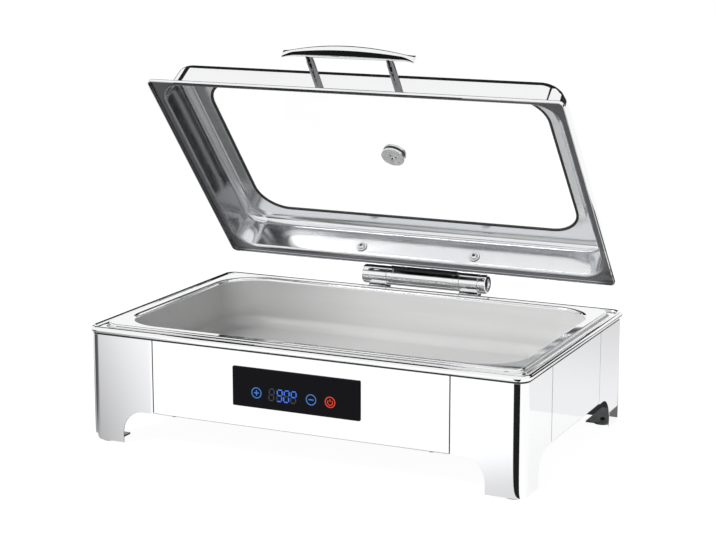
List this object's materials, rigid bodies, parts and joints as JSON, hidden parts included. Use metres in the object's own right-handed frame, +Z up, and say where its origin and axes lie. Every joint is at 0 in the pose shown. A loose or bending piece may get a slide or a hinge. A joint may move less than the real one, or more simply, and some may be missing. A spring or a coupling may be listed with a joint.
{
  "type": "electric chafing dish",
  "caption": "Rectangular electric food warmer on arched legs, with a lift-out pan, a touch control strip and a hinged glass lid that stays where it is put.",
  "frame": {"origin": "on the floor, under the middle of the whole object's box with the lid as it stands at rest", "axes": "+Z up, the front with the touch glass faces -Y, +X to the right seen from the front"},
  "size_m": [0.56, 0.3922, 0.4759],
  "materials": {
    "polished_steel": "mirror polished stainless sheet",
    "plain_steel": "plain mill finish steel",
    "satin_steel": "satin brushed stainless steel",
    "aluminium": "as cast",
    "element_sheath": "heat darkened steel tube",
    "black_rubber": "matt",
    "black_glass": "gloss black printed glass",
    "black_plastic": "fine moulded grain",
    "lead_sheath": "silicone insulation",
    "circuit_board": "lacquered board",
    "bush_brass": "turned",
    "clear_glass": "clear tempered glass",
    "bright_fasteners": "bright zinc",
    "chrome": "bright chrome plate",
    "vent_steel": "satin turned steel"
  },
  "bodies": {
    "base": {"front_panel": "polished_steel", "back_panel": "polished_steel", "left_panel": "polished_steel", "right_panel": "polished_steel", "leg_front_left": "polished_steel", "leg_front_right": "polished_steel", "leg_back_left": "polished_steel", "leg_back_right": "polished_steel", "foot_plates": "plain_steel", "rubber_feet": "black_rubber", "top_rim": "polished_steel", "bottom_tray": "plain_steel", "tray_screws": "bright_fasteners", "water_pan": "satin_steel", "food_pan": "satin_steel", "heater_plate": "aluminium", "heating_element": "element_sheath", "heater_posts": "aluminium", "heater_screws": "bright_fasteners", "thermal_cutout": "black_plastic", "temperature_sensor": "bright_fasteners", "touch_glass": "black_glass", "display_module": "black_plastic", "touch_pads": "bright_fasteners", "control_board": "circuit_board", "board_posts": "aluminium", "board_screws": "bright_fasteners", "power_inlet": "black_plastic", "inlet_screws": "bright_fasteners", "power_lead": "lead_sheath", "heater_leads": "lead_sheath", "sensor_lead": "lead_sheath", "hinge_bracket": "chrome", "hinge_backing_plate": "plain_steel", "hinge_bracket_screws": "bright_fasteners", "hinge_pin": "plain_steel", "hinge_left_cap": "chrome", "hinge_collar": "chrome", "hinge_right_cap": "chrome"},
    "lid": {"hinge_barrel": "chrome", "hinge_bushes": "bush_brass", "hinge_damper": "black_plastic", "hinge_lid_bracket": "chrome", "lid_hinge_screws": "bright_fasteners", "lid_hinge_nuts": "bright_fasteners", "lid_shell": "polished_steel", "glass_seal": "black_rubber", "lid_glass": "clear_glass", "vent_seat": "vent_steel", "vent_seal": "black_rubber", "vent_screw": "bright_fasteners", "vent_nut": "bright_fasteners", "handle_bar": "chrome", "handle_posts": "chrome", "handle_screws": "bright_fasteners"},
    "vent_dial": {"vent_dial": "vent_steel"}
  },
  "joints": [
    {"name": "lid_hinge", "type": "hinge", "parent": "base", "child": "lid", "pos_m": [0, 0.18338, 0.1516], "axis": [-1, 0, 0], "range_deg": [-49.2, 40.8]},
    {"name": "vent_turn", "type": "hinge", "parent": "lid", "child": "vent_dial", "pos_m": [0, 0.08174, 0.33071], "axis": [0, 0.757, 0.6534], "range_deg": [0, 60]}
  ]
}
